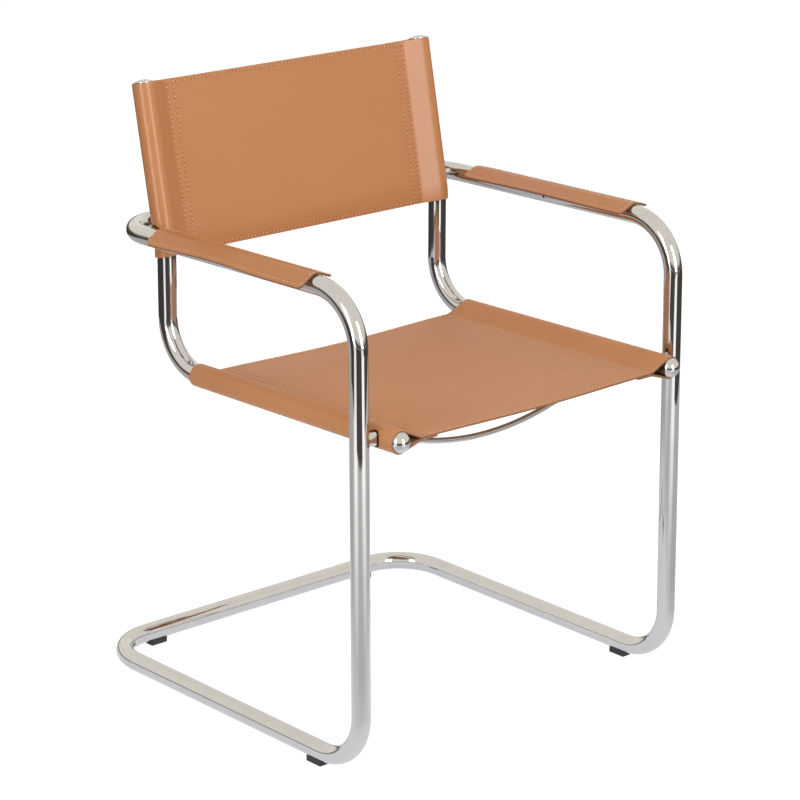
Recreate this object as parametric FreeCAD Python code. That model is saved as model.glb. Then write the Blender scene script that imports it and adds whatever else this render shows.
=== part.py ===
import FreeCAD, Part
import math
import os

# Cantilever armchair: chromed round tube, two leather slings, two leather arm pads.
# Millimetres. +Z is up, the sitter faces -Y, and +X is the sitter's left hand.
# The origin is on the floor under the middle of the chair's outline.

# Tube stock and fits
tube_diameter = 25.0
tube_wall = 2.0
weld_gap = 0.1
slide_fit = 0.15
thread_fit = 0.05
leather_fit = 0.4

# Base and legs of the outer frame
runner_length = 530.0
glide_height = 6.5
base_corner_radius = 71.5
foot_bend_radius = 68.0
leg_lean = 2.2

# Arms and the loop that joins them behind the back
arm_height = 625.5
arm_rise_angle = 1.45
arm_front_bend_radius = 72.5
arm_rear_bend_radius = 60.0
loop_behind_post = 51.5
vent_hole_diameter = 4.0
vent_hole_setback = 231.0
vent_hole_angle = 12.0

# Seat and back tubes, one each side
seat_tube_spacing = 490.8
spacer_length = 12.9
seat_height = 451.6
seat_rake = 1.3
rail_overhang = 33.5
seat_depth = 418.0
seat_corner_radius = 67.5
lower_post_lean = 1.65
back_kink_below_arm = 21.8
back_kink_radius = 150.0
back_recline = 12.85
back_height = 815.5

# Bowed rods that keep the seat tubes apart
rod_diameter = 8.0
rod_bow = 63.0
front_rod_setback = 64.0
rear_rod_ahead_of_bend = 45.0

# Leather slings
sling_leather = 2.6
seat_panel_drop = 2.4
back_panel_drop = -0.4
seat_seam_distance = 38.5
back_seam_distance = 35.0
pinch_past_seam = 4.0
flange_reach = 63.0
seat_sling_wrap_angle = 5.0
back_sling_below_arm = 34.7
back_sling_top_margin = 0.8
leather_hole_margin = 2.0

# Arm pads: cover leather over a lining, taped to the tube
pad_half_width = 27.5
pad_length = 304.0
right_pad_from_bend = 4.5
left_pad_from_bend = 0.5
cover_leather = 1.7
lining_leather = 1.0
lining_inset = 0.6
pad_front_corner_radius = 6.0
pad_rear_corner_radius = 9.0
layer_gap = 0.05
tape_thickness = 0.25
tape_half_angle = 40.0
tape_end_inset = 8.0
right_outer_droop_angle = 33.4
right_inner_droop_angle = 17.8
left_outer_droop_angle = 15.5
left_inner_droop_angle = 23.5

# Caps that close the open tube ends
ball_cap_rim_diameter = 27.2
ball_cap_dome = 11.5
post_cap_dome = 3.2
cap_stem_length = 18.0

# Joints between the two frames
front_spacer_diameter = 18.0
rear_spacer_diameter = 12.5
front_bolt_diameter = 6.0
rear_bolt_diameter = 5.0
bolt_head_ratio = 1.6
bolt_head_height = 2.4
washer_ratio = 1.9
washer_thickness = 0.8
rivet_nut_ratio = 1.5
rivet_nut_flange_ratio = 1.95
rivet_nut_flange_thickness = 1.0
rivet_nut_length = 11.0
bolt_hole_clearance = 0.2

# Hidden joint of the outer frame, in the loop behind the back
joint_slit = 0.2
joint_sleeve_length = 70.0
joint_sleeve_wall = 2.0
joint_screw_diameter = 4.0
joint_screw_spacing = 40.0
joint_screw_head_diameter = 7.0
joint_screw_head_height = 1.8

# Glides under the base
glide_length = 27.0
glide_width = 15.0
glide_lip = 3.0
glide_edge_radius = 1.0
right_rear_glide_from_bend = 7.5
left_rear_glide_from_bend = 0.5
glide_screw_diameter = 3.5
glide_screw_head_diameter = 6.4
glide_screw_head_height = 2.0
glide_screw_recess = 3.0
glide_screw_length = 12.0

# Worked-out sizes
tube_radius = tube_diameter / 2
tube_bore = tube_radius - tube_wall
half_inner = seat_tube_spacing / 2
half_outer = half_inner + tube_diameter + spacer_length
base_height = glide_height + tube_radius
lean = math.tan(math.radians(leg_lean))
arm_slope = math.tan(math.radians(arm_rise_angle))
rake = math.tan(math.radians(seat_rake))
post_lean = math.tan(math.radians(lower_post_lean))
recline = math.tan(math.radians(back_recline))

# Places along Y, first counted from the foot of the legs
joint_from_foot = lean * (seat_height - base_height)
front_tip = rail_overhang - joint_from_foot + ball_cap_dome
foot_y = front_tip - (front_tip + runner_length + tube_radius) / 2
joint_y = foot_y + joint_from_foot
rail_end_y = joint_y - rail_overhang
corner_y = joint_y + seat_depth
corner_z = seat_height - rake * seat_depth
base_rear_y = foot_y + runner_length
kink_z = arm_height - back_kink_below_arm
kink_y = corner_y + post_lean * (kink_z - corner_z)
post_top_y = kink_y + recline * (back_height - kink_z)
rear_joint_y = kink_y + recline * (arm_height - kink_z)
loop_y = rear_joint_y + loop_behind_post
loop_z = arm_height - arm_slope * loop_behind_post
arm_level_at_foot = arm_height + arm_slope * (rear_joint_y - foot_y + lean * base_height)
arm_top_z = arm_level_at_foot / (1 + arm_slope * lean)
arm_top_y = foot_y + lean * (arm_top_z - base_height)

RIGHT_TO_LEFT = FreeCAD.Vector(1, 0, 0)
UP = FreeCAD.Vector(0, 0, 1)
SIDES = {"right": -1, "left": 1}


def arm_axis_z(y):
    return arm_height + arm_slope * (rear_joint_y - y)


def rail_axis_z(y):
    return seat_height - rake * (y - joint_y)


# Tube shapes

def bend_points(before, corner, after, radius):
    """Start, middle and end of the arc that rounds a corner."""
    inward = (before - corner).normalize()
    outward = (after - corner).normalize()
    half = inward.getAngle(outward) / 2
    tangent = radius / math.tan(half)
    bisector = (inward + outward).normalize()
    middle = corner + bisector * (radius / math.sin(half) - radius)
    return corner + inward * tangent, middle, corner + outward * tangent


def bent_wire(points, radii):
    """Straight runs joined by arcs, one radius for each inner point."""
    edges = []
    start = points[0]
    for i, radius in enumerate(radii):
        first, middle, last = bend_points(points[i], points[i + 1], points[i + 2], radius)
        edges.append(Part.LineSegment(start, first).toShape())
        edges.append(Part.Arc(first, middle, last).toShape())
        start = last
    edges.append(Part.LineSegment(start, points[-1]).toShape())
    return Part.Wire(edges)


def round_bar(path, radius):
    """A solid round bar along a wire."""
    first = path.OrderedEdges[0]
    start = first.valueAt(first.FirstParameter)
    heading = first.tangentAt(first.FirstParameter)
    ring = Part.Wire([Part.makeCircle(radius, start, heading)])
    return path.makePipeShell([ring], True, True)


def round_tube(path):
    return round_bar(path, tube_radius).cut(round_bar(path, tube_bore))


def rod_along(axis, radius, start, length):
    return Part.makeCylinder(radius, length, start, axis)


def outer_path():
    slit = joint_slit / 2
    half = [
        FreeCAD.Vector(slit, loop_y, loop_z),
        FreeCAD.Vector(half_outer, loop_y, loop_z),
        FreeCAD.Vector(half_outer, arm_top_y, arm_top_z),
        FreeCAD.Vector(half_outer, foot_y, base_height),
        FreeCAD.Vector(half_outer, base_rear_y, base_height),
    ]
    mirrored = [FreeCAD.Vector(-p.x, p.y, p.z) for p in reversed(half)]
    radii = [arm_rear_bend_radius, arm_front_bend_radius, foot_bend_radius, base_corner_radius]
    return bent_wire(half + mirrored, radii + list(reversed(radii)))


def inner_path(side):
    x = side * half_inner
    points = [
        FreeCAD.Vector(x, rail_end_y, rail_axis_z(rail_end_y)),
        FreeCAD.Vector(x, corner_y, corner_z),
        FreeCAD.Vector(x, kink_y, kink_z),
        FreeCAD.Vector(x, post_top_y, back_height),
    ]
    return bent_wire(points, [seat_corner_radius, back_kink_radius])


def path_node(path, index):
    """Point where edge number index of a path starts."""
    edge = path.OrderedEdges[index]
    return edge.valueAt(edge.FirstParameter)


# Places that several pieces share

rail_path = inner_path(1)
rail_bend_start = path_node(rail_path, 1)
kink_start = path_node(rail_path, 3)
kink_end = path_node(rail_path, 4)
rail_direction = (rail_bend_start - path_node(rail_path, 0)).normalize()
post_direction = FreeCAD.Vector(0, recline, 1).normalize()
lower_post_direction = FreeCAD.Vector(0, post_lean, 1).normalize()
arm_direction = FreeCAD.Vector(0, 1, -arm_slope).normalize()
frame_path = outer_path()
arm_bend_end = path_node(frame_path, 3)
foot_bend_end = path_node(frame_path, 6)
base_corner_end = path_node(frame_path, 8)


def front_joint(side, x):
    return FreeCAD.Vector(side * x, joint_y, seat_height)


def rear_joint(side, x):
    return FreeCAD.Vector(side * x, rear_joint_y, arm_height)


def across(side):
    """Unit vector from the chair's middle out to one side."""
    return RIGHT_TO_LEFT * side


def outer_face_x(joint, diameter):
    """Where a rivet nut's flange meets the outer tube, which has begun to bend inwards at the rear."""
    past_bend_start = joint(1, 0).y + diameter * rivet_nut_flange_ratio / 2 - (loop_y - arm_rear_bend_radius)
    along = max(0.0, past_bend_start)
    inside_radius = arm_rear_bend_radius - tube_radius
    inset = inside_radius - math.sqrt(inside_radius ** 2 - along ** 2)
    return half_outer - tube_radius - inset - weld_gap


def glide_places():
    """Name, tube axis point above the glide, and the tube's direction there."""
    along_runner = FreeCAD.Vector(0, 1, 0)
    front_y = foot_bend_end.y + glide_length / 2
    from_bend = {"right": right_rear_glide_from_bend, "left": left_rear_glide_from_bend}
    places = []
    for name, side in SIDES.items():
        rear_x = half_outer - base_corner_radius - from_bend[name] - glide_length / 2
        front = FreeCAD.Vector(side * half_outer, front_y, base_height)
        rear = FreeCAD.Vector(side * rear_x, base_rear_y, base_height)
        places.append((name + "_front_glide", front, along_runner))
        places.append((name + "_rear_glide", rear, RIGHT_TO_LEFT))
    return places


# Frames

def bolt_holes(joint, bolt_diameter):
    """Holes for one pair of bolts: through the inner tube, and for the rivet nut in the outer one."""
    holes = []
    bolt_hole = bolt_diameter / 2 + bolt_hole_clearance
    nut_hole = bolt_diameter * rivet_nut_ratio / 2 + slide_fit
    for side in SIDES.values():
        through = rod_along(across(side), bolt_hole, joint(side, half_inner - tube_diameter), 2 * tube_diameter)
        nut = rod_along(across(side), nut_hole, joint(side, half_outer - tube_radius - tube_wall), 3 * tube_wall)
        holes.append((through, nut))
    return holes


def outer_frame():
    frame = round_tube(frame_path)
    for joint, diameter in ((front_joint, front_bolt_diameter), (rear_joint, rear_bolt_diameter)):
        for through, nut in bolt_holes(joint, diameter):
            frame = frame.cut(nut)
    for name, place, heading in glide_places():
        hole = glide_screw_diameter / 2 + thread_fit
        frame = frame.cut(rod_along(-UP, hole, place - UP * tube_bore * 0.8, tube_diameter / 2))
    for x in (-joint_screw_spacing / 2, joint_screw_spacing / 2):
        start = FreeCAD.Vector(x, loop_y, loop_z - tube_bore * 0.8)
        frame = frame.cut(rod_along(-UP, joint_screw_diameter / 2 + slide_fit, start, tube_radius))
    vent_y = arm_top_y + vent_hole_setback
    turn = math.radians(vent_hole_angle)
    for side in SIDES.values():
        inward = FreeCAD.Vector(-side * math.cos(turn), 0, -math.sin(turn))
        start = FreeCAD.Vector(side * half_outer, vent_y, arm_axis_z(vent_y))
        frame = frame.cut(rod_along(inward, vent_hole_diameter / 2, start, tube_diameter))
    return frame


def seat_back_tube(side):
    tube = round_tube(inner_path(side))
    for joint, diameter in ((front_joint, front_bolt_diameter), (rear_joint, rear_bolt_diameter)):
        hole = diameter / 2 + bolt_hole_clearance
        start = joint(side, half_inner - tube_diameter)
        tube = tube.cut(rod_along(across(side), hole, start, 2 * tube_diameter))
    return tube


def joint_sleeve():
    start = FreeCAD.Vector(-joint_sleeve_length / 2, loop_y, loop_z)
    radius = tube_bore - slide_fit
    outer = rod_along(RIGHT_TO_LEFT, radius, start, joint_sleeve_length)
    inner = rod_along(RIGHT_TO_LEFT, radius - joint_sleeve_wall, start, joint_sleeve_length)
    sleeve = outer.cut(inner)
    for x in (-joint_screw_spacing / 2, joint_screw_spacing / 2):
        hole_start = FreeCAD.Vector(x, loop_y, loop_z)
        sleeve = sleeve.cut(rod_along(-UP, joint_screw_diameter / 2 + thread_fit, hole_start, tube_radius))
    return sleeve


def joint_screws():
    screws = []
    depth = 2 * tube_wall + joint_sleeve_wall
    for x in (-joint_screw_spacing / 2, joint_screw_spacing / 2):
        seat = FreeCAD.Vector(x, loop_y, loop_z - tube_radius)
        shank = rod_along(UP, joint_screw_diameter / 2, seat, depth)
        head = rod_along(-UP, joint_screw_head_diameter / 2, seat, joint_screw_head_height)
        screws.append(shank.fuse(head).removeSplitter())
    return Part.makeCompound(screws)


# Spreader rods

def rod_path(y):
    """One arc bowed down in the middle, which meets both tubes at the height of their axes."""
    reach = half_inner - tube_radius
    radius = (reach ** 2 + rod_bow ** 2) / (2 * rod_bow)
    middle = FreeCAD.Vector(0, y, rail_axis_z(y) - rod_bow)
    rise = UP * (radius - math.sqrt(radius ** 2 - half_inner ** 2))
    ends = [middle + rise + RIGHT_TO_LEFT * (side * half_inner) for side in SIDES.values()]
    return Part.Wire([Part.Arc(ends[0], middle, ends[1]).toShape()])


front_rod_y = joint_y + front_rod_setback
rear_rod_y = rail_bend_start.y - rear_rod_ahead_of_bend


def spreader_rod(y):
    rod = round_bar(rod_path(y), rod_diameter / 2)
    for side in SIDES.values():
        rod = rod.cut(round_bar(inner_path(side), tube_radius + weld_gap))
    return rod


# Slings

def tangent_touch(point, radius, upper):
    """Where a line from a point touches a circle about the origin, on its upper or lower side."""
    reach = math.hypot(point[0], point[1])
    towards = math.atan2(-point[1], -point[0])
    opening = math.asin(radius / reach)
    turn = towards + opening if upper else towards - opening
    length = math.sqrt(reach ** 2 - radius ** 2)
    return point[0] + length * math.cos(turn), point[1] + length * math.sin(turn)


def sling_section(origin, normal, seam_distance, panel_drop):
    """Face across both tubes: a panel with a teardrop loop about each tube and a flange under it.

    u runs across the chair and v along the normal, which points to the sitter.
    The seam's distance and the panel's drop are measured from the tubes' axes."""
    wrap = tube_radius + leather_fit
    skin = wrap + sling_leather
    top = -panel_drop + sling_leather
    under = -panel_drop - sling_leather

    def place(u, v):
        return origin + RIGHT_TO_LEFT * u + normal * v

    def line(a, b):
        return Part.LineSegment(place(*a), place(*b)).toShape()

    def loop_edges(side, start, far, radius, finish):
        """Tangent down to the tube, round its far side, and back by the lower tangent."""
        high = tangent_touch(start, radius, True)
        low = tangent_touch(finish, radius, False)
        shift = side * half_inner
        points = [start, high, (far, 0.0), low, finish]
        a, b, c, d, e = [(shift + side * u, v) for u, v in points]
        return [line(a, b), Part.Arc(place(*b), place(*c), place(*d)).toShape(), line(d, e)]

    edges = []
    for side in (1, -1):
        seam = half_inner - seam_distance
        flange = half_inner - flange_reach
        edges.append(line((0.0, top), (side * seam, top)))
        edges += loop_edges(side, (-seam_distance, top), skin, skin, (-seam_distance, under))
        edges.append(line((side * seam, under), (side * flange, under)))
        edges.append(line((side * flange, under), (side * flange, -panel_drop)))
        edges.append(line((side * flange, -panel_drop), (0.0, -panel_drop)))
    outline = Part.Wire(Part.__sortEdges__(edges))
    face = Part.Face(outline)
    for side in (1, -1):
        apex = (pinch_past_seam - seam_distance, -panel_drop)
        loop = Part.Wire(loop_edges(side, apex, wrap, wrap, apex))
        face = face.cut(Part.Face(loop))
    return face.Faces[0]


def spacer_holes(joint, diameter):
    """Cutters for the round holes that the spacers pass through."""
    radius = diameter / 2 + leather_hole_margin
    return [rod_along(across(side), radius, joint(side, half_inner), tube_diameter) for side in SIDES.values()]


def seat_sling():
    start = FreeCAD.Vector(0, rail_end_y, rail_axis_z(rail_end_y))
    bend = FreeCAD.Vector(0, rail_bend_start.y, rail_bend_start.z)
    normal = rail_direction.cross(RIGHT_TO_LEFT) * -1
    fold = (seat_seam_distance, seat_panel_drop)
    run = sling_section(start, normal, *fold).extrude(bend - start)
    centre = bend + normal * seat_corner_radius
    turned = sling_section(bend, normal, *fold).revolve(centre, RIGHT_TO_LEFT, seat_sling_wrap_angle)
    sling = run.fuse(turned).removeSplitter()
    for cutter in spacer_holes(front_joint, front_spacer_diameter):
        sling = sling.cut(cutter)
    for y in (front_rod_y, rear_rod_y):
        sling = sling.cut(round_bar(rod_path(y), rod_diameter / 2 + weld_gap + leather_fit))
    return sling


def back_sling():
    """Both ends are cut square to the reclined part of the posts, also below their kink."""
    below = FreeCAD.Vector(0, kink_start.y, kink_start.z)
    above = FreeCAD.Vector(0, kink_end.y, kink_end.z)
    top = FreeCAD.Vector(0, post_top_y, back_height) - post_direction * back_sling_top_margin
    lower_normal = lower_post_direction.cross(RIGHT_TO_LEFT) * -1
    upper_normal = post_direction.cross(RIGHT_TO_LEFT) * -1
    fold = (back_seam_distance, back_panel_drop)
    foot = sling_section(below, lower_normal, *fold).extrude(lower_post_direction * -back_sling_below_arm)
    centre = below - lower_normal * back_kink_radius
    turned = sling_section(below, lower_normal, *fold)
    turned = turned.revolve(centre, RIGHT_TO_LEFT, lower_post_lean - back_recline)
    run = sling_section(above, upper_normal, *fold).extrude(top - above)
    sling = foot.fuse([turned, run]).removeSplitter()
    span = 4 * half_outer
    waste = Part.makeBox(span, span, span, FreeCAD.Vector(-span / 2, -span / 2, -span))
    waste.rotate(FreeCAD.Vector(0, 0, 0), RIGHT_TO_LEFT, -back_recline)
    waste.translate(FreeCAD.Vector(0, kink_y, arm_height - back_sling_below_arm))
    sling = sling.cut(waste)
    for cutter in spacer_holes(rear_joint, rear_spacer_diameter):
        sling = sling.cut(cutter)
    return sling


# Arm pads

def pad_station(side, from_bend):
    """Tube axis points under the front and rear ends of a pad."""
    start = FreeCAD.Vector(side * half_outer, arm_bend_end.y, arm_bend_end.z) + arm_direction * from_bend
    return start, start + arm_direction * pad_length


def arch_section(origin, side, inner_radius, thickness, half_width, outer_droop, inner_droop):
    """Sheet bent over the tube: an arc on top with a straight flap tangent to it each side."""
    normal = arm_direction.cross(RIGHT_TO_LEFT) * -1

    def place(u, v):
        return origin + RIGHT_TO_LEFT * (side * u) + normal * v

    def flap(droop, way, radius, reach):
        angle = math.radians(droop)
        touch = (way * radius * math.sin(angle), radius * math.cos(angle))
        run = (reach - radius * math.sin(angle)) / math.cos(angle)
        return touch, (way * reach, touch[1] - run * math.sin(angle))

    outer_radius = inner_radius + thickness
    shift_out = thickness * math.sin(math.radians(outer_droop))
    shift_in = thickness * math.sin(math.radians(inner_droop))
    a_touch, a_end = flap(outer_droop, 1, outer_radius, half_width)
    b_touch, b_end = flap(inner_droop, -1, outer_radius, half_width)
    c_touch, c_end = flap(outer_droop, 1, inner_radius, half_width - shift_out)
    d_touch, d_end = flap(inner_droop, -1, inner_radius, half_width - shift_in)
    edges = [
        Part.LineSegment(place(*b_end), place(*b_touch)).toShape(),
        Part.Arc(place(*b_touch), place(0, outer_radius), place(*a_touch)).toShape(),
        Part.LineSegment(place(*a_touch), place(*a_end)).toShape(),
        Part.LineSegment(place(*a_end), place(*c_end)).toShape(),
        Part.LineSegment(place(*c_end), place(*c_touch)).toShape(),
        Part.Arc(place(*c_touch), place(0, inner_radius), place(*d_touch)).toShape(),
        Part.LineSegment(place(*d_touch), place(*d_end)).toShape(),
        Part.LineSegment(place(*d_end), place(*b_end)).toShape(),
    ]
    return Part.Face(Part.Wire(edges))


def rounded_plan(side, start, end, half_width, inset):
    """Tall prism with rounded corners, which trims a pad layer to its plan."""
    depth = 4 * tube_diameter
    corner = FreeCAD.Vector(side * half_outer - half_width, start.y, arm_height - depth / 2)
    prism = Part.makeBox(2 * half_width, end.y - start.y, depth, corner)
    for y, radius in ((start.y, pad_front_corner_radius), (end.y, pad_rear_corner_radius)):
        upright = [e for e in prism.Edges if abs(e.tangentAt(e.FirstParameter).z) > 0.9]
        corners = [e for e in upright if abs(e.CenterOfMass.y - y) < half_width]
        prism = prism.makeFillet(radius - inset, corners)
    return prism


def pad_layer(side, station, radius, thickness, inset, droops):
    start = station[0] + arm_direction * inset
    end = station[1] - arm_direction * inset
    half = pad_half_width - inset
    layer = arch_section(start, side, radius, thickness, half, *droops).extrude(end - start)
    return layer.common(rounded_plan(side, start, end, half, inset))


def pad_tape(side, station):
    """Thin curved strip between the tube and the lining."""
    start = station[0] + arm_direction * tape_end_inset
    end = station[1] - arm_direction * tape_end_inset
    normal = arm_direction.cross(RIGHT_TO_LEFT) * -1
    low = tube_radius + layer_gap
    high = low + tape_thickness
    turn = math.radians(tape_half_angle)

    def place(radius, angle):
        return start + RIGHT_TO_LEFT * (radius * math.sin(angle)) + normal * (radius * math.cos(angle))

    edges = [
        Part.Arc(place(high, -turn), place(high, 0), place(high, turn)).toShape(),
        Part.LineSegment(place(high, turn), place(low, turn)).toShape(),
        Part.Arc(place(low, turn), place(low, 0), place(low, -turn)).toShape(),
        Part.LineSegment(place(low, -turn), place(high, -turn)).toShape(),
    ]
    return Part.Face(Part.Wire(edges)).extrude(end - start)


def arm_pad(side, from_bend, droops):
    """Cover, lining and tape of one pad."""
    station = pad_station(side, from_bend)
    lining_radius = tube_radius + layer_gap + tape_thickness + layer_gap
    cover_radius = lining_radius + lining_leather + layer_gap
    cover = pad_layer(side, station, cover_radius, cover_leather, 0.0, droops)
    lining = pad_layer(side, station, lining_radius, lining_leather, lining_inset, droops)
    return cover, lining, pad_tape(side, station)


# Caps

def domed_cap(seat, outward, rim_radius, dome):
    """Dome that covers a tube's end, with a stem inside the tube."""
    sphere_radius = (rim_radius ** 2 + dome ** 2) / (2 * dome)
    centre = seat + outward * (dome - sphere_radius)
    ball = Part.makeSphere(sphere_radius, centre)
    front = rod_along(outward, 2 * sphere_radius, seat, 2 * sphere_radius)
    stem = rod_along(-outward, tube_bore - slide_fit, seat, cap_stem_length)
    return ball.common(front).fuse(stem).removeSplitter()


def rail_ball_cap(side):
    seat = FreeCAD.Vector(side * half_inner, rail_end_y, rail_axis_z(rail_end_y))
    return domed_cap(seat, -rail_direction, ball_cap_rim_diameter / 2, ball_cap_dome)


def post_top_cap(side):
    seat = FreeCAD.Vector(side * half_inner, post_top_y, back_height)
    return domed_cap(seat, post_direction, tube_radius, post_cap_dome)


# Spacers and bolts

def joint_spacer(side, joint, diameter, bolt_diameter):
    """Round spacer whose ends are coped to both tubes, with a recess for the rivet nut's flange."""
    nut_face = outer_face_x(joint, bolt_diameter)
    start = joint(side, half_inner)
    body = rod_along(across(side), diameter / 2, start, half_outer - half_inner)
    body = body.cut(round_bar(inner_path(side), tube_radius + weld_gap / 2))
    body = body.cut(round_bar(frame_path, tube_radius + weld_gap / 2))
    body = max(body.Solids, key=lambda solid: solid.Volume)
    bore = rod_along(across(side), bolt_diameter / 2 + bolt_hole_clearance, start, half_outer - half_inner)
    recess_depth = rivet_nut_flange_thickness + bolt_hole_clearance
    recess_start = joint(side, nut_face - recess_depth)
    recess_radius = bolt_diameter * rivet_nut_flange_ratio / 2 + slide_fit
    recess = rod_along(across(side), recess_radius, recess_start, tube_radius)
    return body.cut(bore).cut(recess)


def bolts(joint, diameter):
    """Low-head bolts that enter from inside the slings' sleeves."""
    pieces = []
    length = tube_diameter + spacer_length + rivet_nut_length + washer_thickness - tube_wall
    for side in SIDES.values():
        seat = joint(side, half_inner - tube_radius - washer_thickness)
        shank = rod_along(across(side), diameter / 2, seat, length)
        head = rod_along(across(-side), diameter * bolt_head_ratio / 2, seat, bolt_head_height)
        rim = [e for e in head.Edges if abs(e.CenterOfMass.x) < abs(seat.x) - bolt_head_height * 0.9]
        pieces.append(head.makeFillet(bolt_head_height * 0.4, rim).fuse(shank).removeSplitter())
    return Part.makeCompound(pieces)


def washers(joint, diameter):
    rings = []
    for side in SIDES.values():
        seat = joint(side, half_inner - tube_radius)
        disc = rod_along(across(-side), diameter * washer_ratio / 2, seat, washer_thickness)
        hole = rod_along(across(-side), diameter / 2 + bolt_hole_clearance, seat, washer_thickness)
        rings.append(disc.cut(hole))
    return Part.makeCompound(rings)


def rivet_nuts(joint, diameter):
    """Flanged threaded inserts set in the outer tube's inner wall."""
    nuts = []
    for side in SIDES.values():
        face = joint(side, outer_face_x(joint, diameter))
        body = rod_along(across(side), diameter * rivet_nut_ratio / 2, face, rivet_nut_length)
        flange_radius = diameter * rivet_nut_flange_ratio / 2
        flange = rod_along(across(-side), flange_radius, face, rivet_nut_flange_thickness)
        bore_start = face + across(-side) * rivet_nut_flange_thickness
        bore_length = rivet_nut_length + rivet_nut_flange_thickness
        bore = rod_along(across(side), diameter / 2 + thread_fit, bore_start, bore_length)
        nuts.append(body.fuse(flange).cut(bore).removeSplitter())
    return Part.makeCompound(nuts)


# Glides

def glide(place, heading):
    """Plastic block saddled to the tube, with a recess below for its screw."""
    sideways = heading.cross(UP)
    top = base_height - tube_radius + glide_lip
    corner = place - heading * (glide_length / 2) - sideways * (glide_width / 2)
    corners = [corner, corner + heading * glide_length]
    corners += [c + sideways * glide_width for c in reversed(corners)]
    corners = [FreeCAD.Vector(c.x, c.y, 0) for c in corners]
    block = Part.Face(Part.makePolygon(corners + corners[:1])).extrude(UP * top)
    lower = [e for e in block.Edges if e.CenterOfMass.z < top * 0.9]
    block = block.makeFillet(glide_edge_radius, lower)
    start = place - heading * glide_length
    block = block.cut(rod_along(heading, tube_radius + weld_gap, start, 2 * glide_length))
    floor = FreeCAD.Vector(place.x, place.y, 0)
    recess = rod_along(UP, glide_screw_head_diameter / 2 + slide_fit, floor, glide_screw_recess)
    hole = rod_along(UP, glide_screw_diameter / 2 + thread_fit, floor, base_height)
    return block.cut(recess).cut(hole)


def glide_screws():
    screws = []
    for name, place, heading in glide_places():
        seat = FreeCAD.Vector(place.x, place.y, glide_screw_recess)
        head = rod_along(-UP, glide_screw_head_diameter / 2, seat, glide_screw_head_height)
        shank = rod_along(UP, glide_screw_diameter / 2, seat, glide_screw_length)
        screws.append(head.fuse(shank).removeSplitter())
    return Part.makeCompound(screws)


# All the pieces

def build_nodes():
    nodes = {
        "outer_frame": outer_frame(),
        "frame_joint_sleeve": joint_sleeve(),
        "frame_joint_screws": joint_screws(),
        "front_spreader_rod": spreader_rod(front_rod_y),
        "rear_spreader_rod": spreader_rod(rear_rod_y),
        "seat_sling": seat_sling(),
        "back_sling": back_sling(),
        "front_bolts": bolts(front_joint, front_bolt_diameter),
        "rear_bolts": bolts(rear_joint, rear_bolt_diameter),
        "front_washers": washers(front_joint, front_bolt_diameter),
        "rear_washers": washers(rear_joint, rear_bolt_diameter),
        "front_rivet_nuts": rivet_nuts(front_joint, front_bolt_diameter),
        "rear_rivet_nuts": rivet_nuts(rear_joint, rear_bolt_diameter),
        "glide_screws": glide_screws(),
    }
    pads = {
        "right": (right_pad_from_bend, (right_outer_droop_angle, right_inner_droop_angle)),
        "left": (left_pad_from_bend, (left_outer_droop_angle, left_inner_droop_angle)),
    }
    for name, side in SIDES.items():
        nodes[name + "_seat_back_tube"] = seat_back_tube(side)
        nodes[name + "_rail_ball_cap"] = rail_ball_cap(side)
        nodes[name + "_post_top_cap"] = post_top_cap(side)
        front = joint_spacer(side, front_joint, front_spacer_diameter, front_bolt_diameter)
        rear = joint_spacer(side, rear_joint, rear_spacer_diameter, rear_bolt_diameter)
        nodes[name + "_front_spacer"] = front
        nodes[name + "_rear_spacer"] = rear
        cover, lining, tape = arm_pad(side, *pads[name])
        nodes[name + "_arm_pad_cover"] = cover
        nodes[name + "_arm_pad_lining"] = lining
        nodes[name + "_arm_pad_tape"] = tape
    for name, place, heading in glide_places():
        nodes[name] = glide(place, heading)
    return nodes


os.makedirs("parts", exist_ok=True)
for node, shape in build_nodes().items():
    shape.exportStep("parts/" + node + ".step")
    print(node, len(shape.Solids), round(shape.Volume), shape.isValid())
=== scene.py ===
import math

import bmesh
import bpy
import numpy as np
from mathutils import Matrix, Vector


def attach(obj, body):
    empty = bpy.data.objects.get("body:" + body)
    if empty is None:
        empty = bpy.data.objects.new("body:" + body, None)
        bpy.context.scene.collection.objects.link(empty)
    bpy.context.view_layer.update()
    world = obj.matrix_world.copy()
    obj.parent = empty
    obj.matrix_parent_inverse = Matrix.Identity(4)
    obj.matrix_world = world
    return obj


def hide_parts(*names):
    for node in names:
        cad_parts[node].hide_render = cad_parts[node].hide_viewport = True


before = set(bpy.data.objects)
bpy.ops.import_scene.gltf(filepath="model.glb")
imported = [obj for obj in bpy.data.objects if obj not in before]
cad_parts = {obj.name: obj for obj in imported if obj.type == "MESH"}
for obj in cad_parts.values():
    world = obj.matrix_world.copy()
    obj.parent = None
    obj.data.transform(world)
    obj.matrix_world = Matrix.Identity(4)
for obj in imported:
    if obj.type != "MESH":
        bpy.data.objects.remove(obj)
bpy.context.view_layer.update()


# Outer frame: one round steel tube bent into the floor loop, the legs, the arms and the loop behind
# the back, then polished and chrome plated. The plating is a mirror with faint wiping marks.
TUBE_RADIUS = 0.0125

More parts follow.
